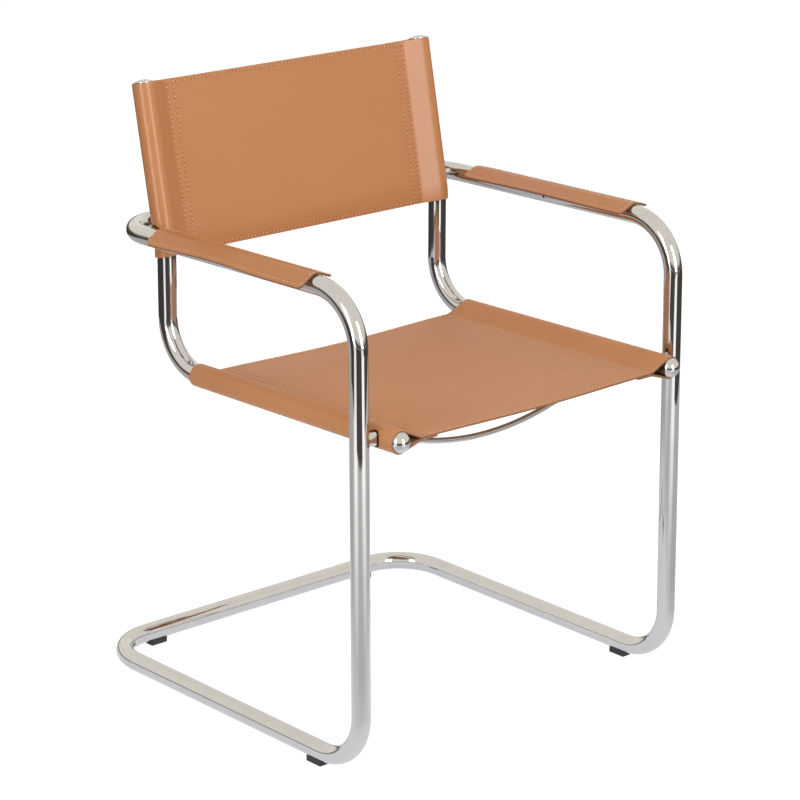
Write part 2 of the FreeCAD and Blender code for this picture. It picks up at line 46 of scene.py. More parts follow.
plating = bpy.data.materials.new("chrome_plating")
plating.use_nodes = True
nodes, links = plating.node_tree.nodes, plating.node_tree.links
chrome = nodes["Principled BSDF"]
chrome.inputs["Metallic"].default_value = 1.0
place = nodes.new("ShaderNodeTexCoord")
wiping = nodes.new("ShaderNodeTexNoise")
wiping.inputs["Scale"].default_value = 38.0
wiping.inputs["Detail"].default_value = 5.0
links.new(place.outputs["Object"], wiping.inputs["Vector"])
gloss = nodes.new("ShaderNodeMapRange")
gloss.inputs["From Min"].default_value = 0.35
gloss.inputs["From Max"].default_value = 0.7
gloss.inputs["To Min"].default_value = 0.02
gloss.inputs["To Max"].default_value = 0.055
links.new(wiping.outputs["Fac"], gloss.inputs["Value"])
links.new(gloss.outputs["Result"], chrome.inputs["Roughness"])
tone = nodes.new("ShaderNodeValToRGB")
tone.color_ramp.elements[0].color = (0.54, 0.54, 0.54, 1)
tone.color_ramp.elements[1].color = (0.61, 0.61, 0.61, 1)
links.new(wiping.outputs["Fac"], tone.inputs["Fac"])
links.new(tone.outputs["Color"], chrome.inputs["Base Color"])
scratches = nodes.new("ShaderNodeTexNoise")
scratches.inputs["Scale"].default_value = 900.0
scratches.inputs["Detail"].default_value = 2.0
links.new(place.outputs["Object"], scratches.inputs["Vector"])
relief = nodes.new("ShaderNodeBump")
relief.inputs["Strength"].default_value = 0.02
relief.inputs["Distance"].default_value = 0.0001
links.new(scratches.outputs["Fac"], relief.inputs["Height"])
links.new(relief.outputs["Normal"], chrome.inputs["Normal"])


def dress(material, *names):
    """Gives CAD nodes their finish."""
    for name in names:
        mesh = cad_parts[name].data
        mesh.materials.clear()
        mesh.materials.append(material)


dress(plating, "outer_frame")


# Seat and back tubes: one bent tube each side, flat under the seat and upright behind it, with two
# bowed rods welded across under the seat. Same plating.
dress(plating, "left_seat_back_tube", "right_seat_back_tube", "front_spreader_rod", "rear_spreader_rod")
HALF_SPACING = 0.2454
RAIL_END = (-0.27394, 0.45236)
RAIL_CORNER = (0.17756, 0.44211)
POST_KINK = (0.18222, 0.60370)
POST_TOP = (0.23053, 0.81550)
TUBE_CORNERS = np.array([RAIL_END, RAIL_CORNER, POST_KINK, POST_TOP])
TUBE_BENDS = (0.0675, 0.150)


def along_tube(distance):
    """Place and heading, in Y and Z, at distances from the front end of a seat and back tube.

    The tube is straight runs joined by arcs. An arc of radius R that turns by T takes R tan(T / 2)
    off both runs, and at angle a it has moved R sin(a) ahead and R (1 - cos(a)) to its inner side."""
    spot = np.zeros((len(distance), 2))
    heading = np.zeros((len(distance), 2))
    start, gone = TUBE_CORNERS[0], 0.0
    for k in range(len(TUBE_CORNERS) - 1):
        ahead = TUBE_CORNERS[k + 1] - TUBE_CORNERS[k]
        ahead = ahead / np.linalg.norm(ahead)
        last = k == len(TUBE_BENDS)
        turn = 0.0
        if not last:
            after = TUBE_CORNERS[k + 2] - TUBE_CORNERS[k + 1]
            turn = math.atan2(ahead[0] * after[1] - ahead[1] * after[0], ahead @ after)
        bend = 0.0 if last else TUBE_BENDS[k]
        end = TUBE_CORNERS[k + 1] - ahead * bend * math.tan(abs(turn) / 2)
        here = distance >= gone - 1e-9
        spot[here] = start + ahead * (distance[here] - gone)[:, None]
        heading[here] = ahead
        gone += np.linalg.norm(end - start)
        if last:
            break
        inner = np.array([-ahead[1], ahead[0]]) * math.copysign(1, turn)
        here = distance >= gone
        angle = ((distance[here] - gone) / bend)[:, None]
        spot[here] = end + bend * (np.sin(angle) * ahead + (1 - np.cos(angle)) * inner)
        heading[here] = np.cos(angle) * ahead + np.sin(angle) * inner
        start = end + bend * (math.sin(abs(turn)) * ahead + (1 - math.cos(turn)) * inner)
        gone += bend * abs(turn)
    return spot, heading


# Seat sling: one piece of tan saddle leather, folded under at both sides round the seat tubes and
# held by two rows of stitching each side. A single row runs along the front and rear edges.
LEATHER = 0.0026
SLEEVE_GAP = 0.0004
SLEEVE_RADIUS = TUBE_RADIUS + SLEEVE_GAP + LEATHER / 2
FLANGE_FROM_TUBE = 0.063
EDGE_ROW = 0.0045
ROW_MARGIN = 0.003
STITCH_PITCH = 0.0065
NEEDLE_HOLE = 0.0007
HALF_GROOVE = 0.0022
# start, length: along the tubes. seam, rows: in from their axes. drop: below them. sag: front, middle, rear.
SEAT = dict(
    start=0.0, length=0.39035, lead=0.0, seam=0.0365, drop=0.0011, rows=(0.0440, 0.0550), sag=(0.0028, 0.0053, 0.0038)
)


def sling_strip(sling):
    """Middle line of the leather across the chair, as U, V points an even step apart, and its length.

    From the centre: level to the seam, by a tangent on to the circle round the tube, round it, by the
    other tangent back to the seam, and level under the panel. A running mean eases the corners, and
    the other half is its mirror image."""
    seam, level = HALF_SPACING - sling["seam"], -sling["drop"]
    under = level - LEATHER
    above, below = (-sling["seam"], level), (-sling["seam"], under)
    up = math.atan2(-above[1], -above[0]) + math.asin(SLEEVE_RADIUS / math.hypot(*above))
    down = math.atan2(-below[1], -below[0]) - math.asin(SLEEVE_RADIUS / math.hypot(*below))
    turn = np.linspace(up + math.pi / 2, down - math.pi / 2, 90)
    loop = np.stack([HALF_SPACING + SLEEVE_RADIUS * np.cos(turn), SLEEVE_RADIUS * np.sin(turn)], 1)
    flange = HALF_SPACING - FLANGE_FROM_TUBE
    half = np.vstack([[0, level], [seam, level], loop, [seam, under], [flange, under]])
    line = np.vstack([half[:0:-1] * (-1, 1), half])
    measure = np.concatenate([[0], np.cumsum(np.hypot(*np.diff(line, axis=0).T))])
    fine = np.linspace(0, measure[-1], 3000)
    line = np.stack([np.interp(fine, measure, line[:, k]) for k in (0, 1)], 1)
    window = np.hanning(35)
    window /= window.sum()
    margin = len(window) // 2
    padded = np.pad(line, ((margin, margin), (0, 0)), mode="reflect", reflect_type="odd")
    eased = np.stack([np.convolve(padded[:, k], window, "valid") for k in (0, 1)], 1)
    return eased[::10], (fine - fine.mean())[::10]


def sling_surface(sling, u, v, distance):
    """Points for U, V in the tubes' cross section at distances along them.

    U runs across the chair. V runs along the tubes' inner normal, the heading turned a quarter left.
    Between the seams the leather hangs by sag times (1 - (U / seam)^2)^2, where sag goes from its front
    to its middle to its rear value."""
    spot, heading = along_tube(distance)
    sag = np.interp((distance - sling["start"]) / sling["length"], (0, 0.5, 1), sling["sag"])
    v = v - sag * np.clip(1 - (u / (HALF_SPACING - sling["seam"])) ** 2, 0, None) ** 2
    return np.stack([u, spot[..., 0] - v * heading[..., 1], spot[..., 1] + v * heading[..., 0]], -1)


def grid_mesh(name, points, flat):
    """Quads between neighbours of a grid of points, with the flat leather's own coordinates as UV."""
    rows, columns = points.shape[:2]
    k = np.arange(rows * columns).reshape(rows, columns)
    quads = np.stack([k[:-1, :-1], k[:-1, 1:], k[1:, 1:], k[1:, :-1]], -1).reshape(-1, 4)
    mesh = bpy.data.meshes.new(name)
    mesh.from_pydata(points.reshape(-1, 3), [], quads)
    mesh.uv_layers.new(name="flat").uv.foreach_set("vector", flat.reshape(-1, 2)[quads.ravel()].ravel())
    mesh.polygons.foreach_set("use_smooth", np.ones(len(quads), bool))
    return mesh


def sling_mesh(name, sling):
    """The strip carried along the tubes, and the leather's width.

    Where V rises above the panel the first end starts further on, by lead times that rise."""
    strip, across = sling_strip(sling)
    share = np.linspace(0, 1, 90)[:, None]
    first = sling["start"] + sling["lead"] * (strip[:, 1] + sling["drop"])[None, :]
    distance = first + (sling["start"] + sling["length"] - first) * share
    u = np.broadcast_to(strip[:, 0], distance.shape)
    v = np.broadcast_to(strip[:, 1], distance.shape)
    points = sling_surface(sling, u.ravel(), v.ravel(), distance.ravel()).reshape(*u.shape, 3)
    flat = np.stack([np.broadcast_to(across, u.shape), distance - sling["start"]], -1)
    return grid_mesh(name, points, flat), float(across[-1] - across[0])


def number(tree, operation, a, b=0.0):
    """A Math node whose inputs are sockets or plain numbers."""
    node = tree.nodes.new("ShaderNodeMath")
    node.operation = operation
    for socket, value in zip(node.inputs, (a, b)):
        if isinstance(value, (int, float)):
            socket.default_value = value
        else:
            tree.links.new(value, socket)
    return node.outputs[0]


def needle_marks(tree, u, v, rows, start, end):
    """Two masks: needle holes every stitch, and the groove that the thread pulls into the leather.

    Rows lie at set distances of |u| and run along v, between start and end of it."""
    beside = number(tree, "ABSOLUTE", u)
    off = number(tree, "MINIMUM", *[number(tree, "ABSOLUTE", number(tree, "SUBTRACT", beside, row)) for row in rows])
    step = number(tree, "PINGPONG", v, STITCH_PITCH / 2)
    squares = number(tree, "ADD", number(tree, "POWER", off, 2.0), number(tree, "POWER", step, 2.0))
    pierced = number(tree, "LESS_THAN", number(tree, "SQRT", squares), NEEDLE_HOLE)
    past_start = number(tree, "GREATER_THAN", v, start)
    inside = number(tree, "MULTIPLY", past_start, number(tree, "LESS_THAN", v, end))
    hole = number(tree, "MULTIPLY", pierced, inside)
    groove = number(tree, "SUBTRACT", 1.0, number(tree, "MINIMUM", number(tree, "DIVIDE", off, HALF_GROOVE), 1.0))
    return hole, number(tree, "MULTIPLY", groove, inside)


def leather(name, light, dark, matt, grain, marks=None):
    """Leather with cloudy dye, pores and fine creases. marks adds needle holes and stitch grooves, dented by bumps
    and darkened with painted shade.
    """
    material = bpy.data.materials.new(name)
    material.use_nodes = True
    tree = material.node_tree
    shader = tree.nodes["Principled BSDF"]
    here = tree.nodes.new("ShaderNodeTexCoord")

    def noise(scale, detail):
        node = tree.nodes.new("ShaderNodeTexNoise")
        node.inputs["Scale"].default_value = scale
        node.inputs["Detail"].default_value = detail
        tree.links.new(here.outputs["Object"], node.inputs["Vector"])
        return node.outputs["Fac"]

    broad = number(tree, "MULTIPLY", noise(7.0, 3.0), 0.65)
    clouds = number(tree, "ADD", broad, number(tree, "MULTIPLY", noise(95.0, 4.0), 0.35))
    dye = tree.nodes.new("ShaderNodeValToRGB")
    dye.color_ramp.elements[0].position = 0.32
    dye.color_ramp.elements[0].color = (*dark, 1)
    dye.color_ramp.elements[1].position = 0.68
    dye.color_ramp.elements[1].color = (*light, 1)
    tree.links.new(clouds, dye.inputs["Fac"])
    pores = tree.nodes.new("ShaderNodeTexVoronoi")
    pores.inputs["Scale"].default_value = 1100.0
    tree.links.new(here.outputs["Object"], pores.inputs["Vector"])
    height = number(tree, "ADD", number(tree, "MULTIPLY", pores.outputs["Distance"], 0.6), noise(420.0, 3.0))
    rough = tree.nodes.new("ShaderNodeMapRange")
    rough.inputs["To Min"].default_value = matt - 0.015
    rough.inputs["To Max"].default_value = matt + 0.02
    tree.links.new(noise(60.0, 3.0), rough.inputs["Value"])
    colour = dye.outputs["Color"]
    if marks:
        flat = tree.nodes.new("ShaderNodeSeparateXYZ")
        sheet = tree.nodes.new("ShaderNodeUVMap")
        sheet.uv_map = "flat"
        tree.links.new(sheet.outputs["UV"], flat.inputs[0])
        hole, groove = marks(tree, flat.outputs["X"], flat.outputs["Y"])
        # Painted shade: needle holes, and stitch grooves at 0.4, are darkened towards dark brown to stand in for the
        # shade inside them.
        pierced = tree.nodes.new("ShaderNodeMix")
        pierced.data_type = "RGBA"
        painted_hole_and_groove_shade = number(tree, "MAXIMUM", hole, number(tree, "MULTIPLY", groove, 0.4))
        tree.links.new(painted_hole_and_groove_shade, pierced.inputs["Factor"])
        tree.links.new(colour, pierced.inputs["A"])
        pierced.inputs["B"].default_value = (0.24, 0.09, 0.037, 1)
        colour = pierced.outputs["Result"]
        height = number(tree, "SUBTRACT", height, number(tree, "MULTIPLY", groove, 1.6))
        height = number(tree, "SUBTRACT", height, number(tree, "MULTIPLY", hole, 2.0))
    tree.links.new(colour, shader.inputs["Base Color"])
    tree.links.new(rough.outputs["Result"], shader.inputs["Roughness"])
    bump = tree.nodes.new("ShaderNodeBump")
    bump.inputs["Strength"].default_value = grain
    bump.inputs["Distance"].default_value = 0.0002
    tree.links.new(height, bump.inputs["Height"])
    tree.links.new(bump.outputs["Normal"], shader.inputs["Normal"])
    return material


def sling_marks(sling):
    """The rows of a sling: two each side, and one along each end."""
    length = sling["length"]
    inner = HALF_SPACING - sling["rows"][0]
    side_rows = [HALF_SPACING - row for row in sling["rows"]]

    def marks(tree, u, v):
        side_hole, side_groove = needle_marks(tree, u, v, side_rows, ROW_MARGIN, length - ROW_MARGIN)
        middle = number(tree, "SUBTRACT", v, length / 2)
        end_hole, end_groove = needle_marks(tree, middle, u, [length / 2 - EDGE_ROW] * 2, -inner, inner)
        return number(tree, "MAXIMUM", side_hole, end_hole), number(tree, "MAXIMUM", side_groove, end_groove)

    return marks


flesh_side = leather("leather_flesh_side", (0.46, 0.26, 0.15), (0.37, 0.20, 0.11), 0.85, 0.5)
cut_edge = leather("leather_cut_edge", (0.30, 0.135, 0.065), (0.20, 0.085, 0.04), 0.6, 0.4)
# Painted sheen: the seat's tan is the leather's own colour, made a little lighter and paler than the back's to stand
# in for part of the seat's sheen.
seat_tan_with_painted_sheen = leather(
    "seat_tan_with_painted_sheen", (0.585, 0.250, 0.100), (0.540, 0.226, 0.087), 0.48, 0.08, sling_marks(SEAT)
)


def cut_sheet(name, mesh, thickness, rounding, grain_side, other_side):
    """A sheet thickened evenly about its middle, with rounded cut edges."""
    for material in (grain_side, other_side, cut_edge):
        mesh.materials.append(material)
    piece = bpy.data.objects.new(name, mesh)
    bpy.context.scene.collection.objects.link(piece)
    thick = piece.modifiers.new("leather", "SOLIDIFY")
    thick.thickness = thickness
    thick.offset = 0.0
    thick.use_even_offset = True
    thick.material_offset = 1
    thick.material_offset_rim = 2
    edges = piece.modifiers.new("edges", "BEVEL")
    edges.width = rounding
    edges.segments = 2
    edges.limit_method = "ANGLE"
    edges.angle_limit = math.radians(60)
    return piece


def finish_sling(name, mesh, grain_side, joint, hole_radius):
    """Cuts the sheet, then punches a round hole in each sleeve where a spacer meets the tube.

    joint is the holes' Y and Z. A punch starts inside the tube and ends clear of the leather."""
    rough = cut_sheet(name + "_blank", mesh, LEATHER, 0.0005, grain_side, flesh_side)
    punches = []
    for side in (-1, 1):
        punch = bmesh.new()
        turn = Vector((1, 0, 0)).to_track_quat("Z", "Y").to_matrix().to_4x4()
        turn.translation = Vector((side * (HALF_SPACING + 0.012), *joint))
        bmesh.ops.create_cone(
            punch, cap_ends=True, segments=48, radius1=hole_radius, radius2=hole_radius, depth=0.022, matrix=turn
        )
        shape = bpy.data.meshes.new("punch")
        punch.to_mesh(shape)
        punch.free()
        tool = bpy.data.objects.new("punch", shape)
        bpy.context.scene.collection.objects.link(tool)
        cut = rough.modifiers.new("punch", "BOOLEAN")
        cut.operation = "DIFFERENCE"
        cut.solver = "EXACT"
        cut.object = tool
        punches.append(tool)
    done = bpy.data.meshes.new_from_object(rough.evaluated_get(bpy.context.evaluated_depsgraph_get()))
    for extra in [rough, *punches]:
        bpy.data.objects.remove(extra)
    done.name = name
    piece = bpy.data.objects.new(name, done)
    bpy.context.scene.collection.objects.link(piece)
    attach(piece, "root")
    return piece


FRONT_JOINT = (-0.24044, 0.45160)
seat_sheet, seat_width = sling_mesh("seat_sling_sheet", SEAT)
seat = finish_sling("seat_sling_leather", seat_sheet, seat_tan_with_painted_sheen, FRONT_JOINT, 0.0110)
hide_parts("seat_sling")


# Stitching: waxed tan thread, a lockstitch every 6.5 mm through both layers. Each stitch lies in a
# groove between two needle holes and is a little lighter than the leather.
THREAD = 0.00060
LAST_STITCH = 0.004
thread_finish = bpy.data.materials.new("waxed_thread")
thread_finish.use_nodes = True
nodes, links = thread_finish.node_tree.nodes, thread_finish.node_tree.links
strand = nodes["Principled BSDF"]
place = nodes.new("ShaderNodeTexCoord")
twist = nodes.new("ShaderNodeTexNoise")
twist.inputs["Scale"].default_value = 2500.0
links.new(place.outputs["Object"], twist.inputs["Vector"])
dye = nodes.new("ShaderNodeValToRGB")
dye.color_ramp.elements[0].color = (0.66, 0.35, 0.18, 1)
dye.color_ramp.elements[1].color = (0.84, 0.52, 0.30, 1)
links.new(twist.outputs["Fac"], dye.inputs["Fac"])
links.new(dye.outputs["Color"], strand.inputs["Base Color"])
strand.inputs["Roughness"].default_value = 0.6
relief = nodes.new("ShaderNodeBump")
relief.inputs["Strength"].default_value = 0.3
relief.inputs["Distance"].default_value = 0.0001
links.new(twist.outputs["Fac"], relief.inputs["Height"])
links.new(relief.outputs["Normal"], strand.inputs["Normal"])


def stitch_mesh(name, middle, along, out):
    """One closed thread for each stitch, all from the same small shape.

    Its middle line runs half a stitch each way and arches by a half sine, so that both ends dive into
    their holes. Its section is a circle that tapers to a point at the ends."""
    share = np.linspace(0, 1, 7)[:, None]
    turn = np.linspace(0, 2 * math.pi, 6, endpoint=False)[None, :]
    girth = THREAD * np.sqrt(np.sin(math.pi * share))
    ahead = (share - 0.5) * (STITCH_PITCH * 0.9) + 0 * turn
    sideways = girth * np.cos(turn)
    lift = THREAD * (2.2 * np.sin(math.pi * share) - 1.5) + girth * np.sin(turn)
    shape = np.stack([ahead, sideways, lift], -1)[1:-1].reshape(-1, 3)
    poles = np.array([[ahead[0, 0], 0, lift[0, 0]], [ahead[-1, 0], 0, lift[-1, 0]]])
    shape = np.vstack([shape, poles])
    k = np.arange(5 * 6).reshape(5, 6)
    near = np.roll(k, -1, axis=1)
    walls = np.stack([k[:-1], k[1:], near[1:], near[:-1]], -1).reshape(-1, 4)
    first_tip = np.stack([k[0], near[0], np.full(6, 30)], -1)
    last_tip = np.stack([near[-1], k[-1], np.full(6, 31)], -1)
    tips = np.vstack([first_tip, last_tip])
    beside = np.cross(out, along)
    points = middle[:, None] + along[:, None] * shape[:, :1]
    points = points + beside[:, None] * shape[:, 1:2] + out[:, None] * shape[:, 2:]
    first = (np.arange(len(middle)) * len(shape))[:, None, None]
    quads, tips = (walls + first).reshape(-1, 4), (tips + first).reshape(-1, 3)
    mesh = bpy.data.meshes.new(name)
    mesh.from_pydata(points.reshape(-1, 3), [], quads.tolist() + tips.tolist())
    mesh.polygons.foreach_set("use_smooth", np.ones(len(quads) + len(tips), bool))
    mesh.materials.append(thread_finish)
    piece = bpy.data.objects.new(name, mesh)
    bpy.context.scene.collection.objects.link(piece)
    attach(piece, "root")
    return piece


def sling_stitches(name, sling):
    """Every stitch of a sling: side rows on both faces, end rows on both faces of the panel."""
    start, length = sling["start"], sling["length"]
    inner = HALF_SPACING - sling["rows"][0]
    down = np.arange(1, int(length / STITCH_PITCH)) * STITCH_PITCH + STITCH_PITCH / 2
    down = down[down < length - LAST_STITCH]
    over = (np.arange(-int(inner / STITCH_PITCH), int(inner / STITCH_PITCH)) + 0.5) * STITCH_PITCH
    rows = [(np.full(len(down), side * (HALF_SPACING - row)), down, 0) for side in (-1, 1) for row in sling["rows"]]
    rows += [(over, np.full(len(over), end), 1) for end in (EDGE_ROW, length - EDGE_ROW)]
    middles, ways, outs = [], [], []
    for u, d, across in rows:
        for face in (1, -1):
            depth = np.where((face < 0) & (np.abs(u) > HALF_SPACING - FLANGE_FROM_TUBE), LEATHER, 0.0)
            level = -sling["drop"] + face * LEATHER / 2 - depth
            here = sling_surface(sling, u, level, start + d)
            heading = along_tube(start + d)[1]
            out = np.stack([0 * u, -heading[:, 1], heading[:, 0]], -1) * face
            way = np.stack([0 * u, heading[:, 0], heading[:, 1]], -1)
            if across:
                way = np.zeros((len(u), 3)) + (1, 0, 0)
            middles.append(here)
            ways.append(way)
            outs.append(out)
    return stitch_mesh(name, np.vstack(middles), np.vstack(ways), np.vstack(outs))


seat_thread = sling_stitches("seat_sling_stitching", SEAT)


# Back sling: the same leather, folded round both posts from just below the arms to the top caps,
# and sewn like the seat.
BACK = dict(
    start=0.5722, length=0.2289, lead=0.17, seam=0.0330, drop=-0.0017, rows=(0.0355, 0.0463), sag=(0.0, 0.0012, 0.0)
)
back_leather = leather(
    "back_leather", (0.530, 0.220, 0.083), (0.508, 0.209, 0.078), 0.25, 0.04, sling_marks(BACK)
)
REAR_JOINT = (0.18720, 0.62550)
back_sheet, back_width = sling_mesh("back_sling_sheet", BACK)
back = finish_sling("back_sling_leather", back_sheet, back_leather, REAR_JOINT, 0.0085)
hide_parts("back_sling")
back_thread = sling_stitches("back_sling_stitching", BACK)


# Arm pads: a saddle of tan leather over a thinner lining, sewn together all round 3.5 mm in from
# the edge and stuck to the tube. They hug the top of the tube and stand out each side like a tongue.
HALF_FRAME = 0.2833
ARM_FALL = math.tan(math.radians(1.45))
ARM_LEVEL = 0.62550
PAD_HALF = 0.0275
COVER, LINING, TAPE = 0.0017, 0.0010, 0.00025
LAYER_GAP = 0.00005
LINING_TOP = TUBE_RADIUS + LAYER_GAP + TAPE + LAYER_GAP
LINING_INSET = 0.0006
PAD_ROW = 0.0035
PAD_LENGTH = 0.3039
FRONT_CORNER, REAR_CORNER = 0.006, 0.009
PADS = {
    "right": dict(side=-1, front=-0.1573, out=33.4, inward=17.8, out_lift=0.0031, in_lift=0.0),
    "left": dict(side=1, front=-0.1613, out=15.5, inward=23.5, out_lift=0.0, in_lift=0.0013),
}


def pad_surface(pad, radius, across, y):
    """Point of a pad layer whose arch has this radius, at a distance across from the arm's axis, and at y.

    Over the tube V is the square root of radius squared less across squared. Past the droop angle it
    goes on as the tangent. Between its ends a wing's edge is lifted by the square of a half sine."""
    out = across * pad["side"] > 0
    droop = np.radians(np.where(out, pad["out"], pad["inward"]))
    reach = np.abs(across)
    bent = np.sqrt(np.clip(radius ** 2 - reach ** 2, 0, None))
    wing = radius * np.cos(droop) - (reach - radius * np.sin(droop)) * np.tan(droop)
    v = np.where(reach < radius * np.sin(droop), bent, wing)
    share = np.clip((y - pad["front"] - 0.05) / (PAD_LENGTH - 0.06), 0, 1)
    lift = np.where(out, pad["out_lift"], pad["in_lift"]) * np.sin(math.pi * share) ** 2
    v = v + lift * np.clip(reach - radius * np.sin(droop), 0, None) / (PAD_HALF - radius * np.sin(droop))
    axis = ARM_LEVEL + ARM_FALL * (REAR_JOINT[0] - y)
    return np.stack([pad["side"] * HALF_FRAME + across, y, axis + v], -1)


def pad_half_width(pad, y, inset):
    """Half width of a pad's plan at y: full, less what its corner arcs take off near each end."""
    half = PAD_HALF - inset
    ends = ((pad["front"] + inset, FRONT_CORNER), (pad["front"] + PAD_LENGTH - inset, REAR_CORNER))
    for end, corner in ends:
        corner = corner - inset
        into = np.clip(corner - np.abs(y - end), 0, corner)
        half = half - (corner - np.sqrt(corner ** 2 - into ** 2))
    return half


def pad_layer(name, pad, radius, thickness, inset, grain_side, other_side):
    """One layer: rows along the arm, closer together at the corners, and columns from edge to edge."""
    start, end = pad["front"] + inset, pad["front"] + PAD_LENGTH - inset
    share = np.linspace(0, 1, 120)
    y = start + (end - start) * (share - 0.92 * np.sin(2 * math.pi * share) / (2 * math.pi))
    across = np.linspace(-1, 1, 45)[None, :] * pad_half_width(pad, y, inset)[:, None]
    rows = np.broadcast_to(y[:, None], across.shape)
    points = pad_surface(pad, radius + thickness / 2, across, rows)
    mesh = grid_mesh(name, points, np.stack([across, rows - pad["front"]], -1))
    piece = cut_sheet(name, mesh, thickness, 0.0004, grain_side, other_side)
    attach(piece, "root")
    return piece


def pad_stitches(name, pad):
    """A row of stitches round the pad's plan, 3.5 mm in, on the cover's face and on the lining's."""
    start, end = pad["front"] + PAD_ROW, pad["front"] + PAD_LENGTH - PAD_ROW
    y = start + (end - start) * (0.5 - 0.5 * np.cos(np.linspace(0, math.pi, 900)))
    half = pad_half_width(pad, y, PAD_ROW)
    ring = np.vstack([np.stack([half, y], 1), np.stack([-half, y], 1)[::-1], [[half[0], y[0]]]])
    measure = np.concatenate([[0], np.cumsum(np.hypot(*np.diff(ring, axis=0).T))])
    count = int(measure[-1] / STITCH_PITCH)
    at = (np.arange(count) + 0.5) * measure[-1] / count
    step = 0.0004

    def spot(distance, radius):
        x, yy = [np.interp(distance % measure[-1], measure, ring[:, k]) for k in (0, 1)]
        return pad_surface(pad, radius, x, yy), x, yy

    middles, ways, outs = [], [], []
    for radius, face in ((LINING_TOP + LINING + COVER, 1), (LINING_TOP, -1)):
        here, x, yy = spot(at, radius)
        way = spot(at + step, radius)[0] - spot(at - step, radius)[0]
        over = pad_surface(pad, radius, x + step, yy) - pad_surface(pad, radius, x - step, yy)
        ahead = pad_surface(pad, radius, x, yy + step) - pad_surface(pad, radius, x, yy - step)
        out = np.cross(over, ahead) * face
        middles.append(here)
        ways.append(way / np.linalg.norm(way, axis=1, keepdims=True))
        outs.append(out / np.linalg.norm(out, axis=1, keepdims=True))
    return stitch_mesh(name, np.vstack(middles), np.vstack(ways), np.vstack(outs))


pad_leather = leather("pad_leather", (0.550, 0.216, 0.074), (0.508, 0.195, 0.064), 0.34, 0.08)
for hand, pad in PADS.items():
    cover_under = LINING_TOP + LINING + LAYER_GAP
    cover = pad_layer(hand + "_pad_cover_leather", pad, cover_under, COVER, 0.0, pad_leather, flesh_side)
    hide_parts(hand + "_arm_pad_cover")
    lining = pad_layer(hand + "_pad_lining_leather", pad, LINING_TOP, LINING, LINING_INSET, flesh_side, flesh_side)
    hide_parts(hand + "_arm_pad_lining")
    pad_thread = pad_stitches(hand + "_pad_stitching", pad)


# Tape under the arm pads: a thin double-sided strip between the tube and the lining.
tape = bpy.data.materials.new("adhesive_strip")
tape.use_nodes = True
nodes, links = tape.node_tree.nodes, tape.node_tree.links
film = nodes["Principled BSDF"]
film.inputs["Roughness"].default_value = 0.6
place = nodes.new("ShaderNodeTexCoord")
fibres = nodes.new("ShaderNodeTexNoise")
fibres.inputs["Scale"].default_value = 800.0
links.new(place.outputs["Object"], fibres.inputs["Vector"])
shade = nodes.new("ShaderNodeValToRGB")
shade.color_ramp.elements[0].color = (0.62, 0.60, 0.52, 1)
shade.color_ramp.elements[1].color = (0.74, 0.72, 0.63, 1)
links.new(fibres.outputs["Fac"], shade.inputs["Fac"])
links.new(shade.outputs["Color"], film.inputs["Base Color"])
dress(tape, "left_arm_pad_tape", "right_arm_pad_tape")


# Caps and spacers: turned steel, chromed like the tubes. Domed caps close the front ends of the
# seat tubes and the tops of the posts. The spacers hold the two frames apart.
for side in ("left", "right"):
    dress(plating, side + "_rail_ball_cap", side + "_post_top_cap")
    dress(plating, side + "_front_spacer", side + "_rear_spacer")


# Fasteners: zinc-plated bolts, washers, rivet nuts and screws, and the sleeve inside the joint of
# the outer frame. Most of them can't be seen.
zinc = bpy.data.materials.new("zinc_plating")
zinc.use_nodes = True
nodes, links = zinc.node_tree.nodes, zinc.node_tree.links
steel = nodes["Principled BSDF"]
steel.inputs["Metallic"].default_value = 1.0
place = nodes.new("ShaderNodeTexCoord")
crystals = nodes.new("ShaderNodeTexVoronoi")
crystals.inputs["Scale"].default_value = 600.0
links.new(place.outputs["Object"], crystals.inputs["Vector"])
shade = nodes.new("ShaderNodeValToRGB")
shade.color_ramp.elements[0].color = (0.48, 0.49, 0.50, 1)
shade.color_ramp.elements[1].color = (0.66, 0.67, 0.68, 1)
links.new(crystals.outputs["Distance"], shade.inputs["Fac"])
links.new(shade.outputs["Color"], steel.inputs["Base Color"])
dull = nodes.new("ShaderNodeMapRange")
dull.inputs["To Min"].default_value = 0.28
dull.inputs["To Max"].default_value = 0.42
links.new(crystals.outputs["Distance"], dull.inputs["Value"])
links.new(dull.outputs["Result"], steel.inputs["Roughness"])
dress(zinc, "frame_joint_sleeve", "frame_joint_screws", "front_bolts", "rear_bolts", "front_washers",
      "rear_washers", "front_rivet_nuts", "rear_rivet_nuts", "glide_screws")


# Glides: black moulded plastic blocks saddled to the floor loop, one screw up each.
plastic = bpy.data.materials.new("black_plastic")
plastic.use_nodes = True
nodes, links = plastic.node_tree.nodes, plastic.node_tree.links
moulded = nodes["Principled BSDF"]
place = nodes.new("ShaderNodeTexCoord")
texture = nodes.new("ShaderNodeTexNoise")
texture.inputs["Scale"].default_value = 1500.0
links.new(place.outputs["Object"], texture.inputs["Vector"])
shade = nodes.new("ShaderNodeValToRGB")
shade.color_ramp.elements[0].color = (0.010, 0.010, 0.011, 1)
shade.color_ramp.elements[1].color = (0.030, 0.030, 0.031, 1)
links.new(texture.outputs["Fac"], shade.inputs["Fac"])
links.new(shade.outputs["Color"], moulded.inputs["Base Color"])
moulded.inputs["Roughness"].default_value = 0.55
relief = nodes.new("ShaderNodeBump")
relief.inputs["Strength"].default_value = 0.25
relief.inputs["Distance"].default_value = 0.0001
links.new(texture.outputs["Fac"], relief.inputs["Height"])
links.new(relief.outputs["Normal"], moulded.inputs["Normal"])
dress(plastic, "left_front_glide", "right_front_glide", "left_rear_glide", "right_rear_glide")


